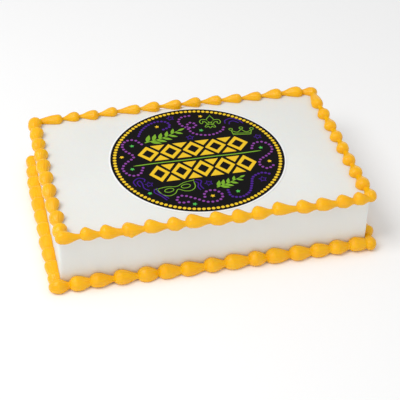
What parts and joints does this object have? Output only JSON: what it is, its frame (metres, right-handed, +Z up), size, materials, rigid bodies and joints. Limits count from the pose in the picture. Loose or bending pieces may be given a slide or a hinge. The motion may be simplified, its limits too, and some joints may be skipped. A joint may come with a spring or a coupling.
{
  "type": "sheet cake",
  "caption": "Rectangular iced sheet cake with piped shell borders round its top edge and its foot, and a round printed icing sheet laid on its top.",
  "frame": {"origin": "middle of the underside, on the surface that the cake stands on", "axes": "+X along the long sides to the right, +Y from the front side to the back side, +Z up"},
  "size_m": [0.3496, 0.235, 0.0704],
  "materials": {
    "white_icing": "soft matt white buttercream, smoothed with a scraper",
    "yellow_icing": "satin yellow-orange piped icing",
    "printed_sheet": "matt white icing sheet printed near-black with gold, purple, violet and green motifs"
  },
  "bodies": {
    "root": {"cake_body": "white_icing", "printed_disc": "printed_sheet", "top_shells_front": "yellow_icing", "top_shells_right": "yellow_icing", "top_shells_back": "yellow_icing", "top_shells_left": "yellow_icing", "bottom_shells_front": "yellow_icing", "bottom_shells_right": "yellow_icing", "bottom_shells_back": "yellow_icing", "bottom_shells_left": "yellow_icing"}
  },
  "joints": []
}
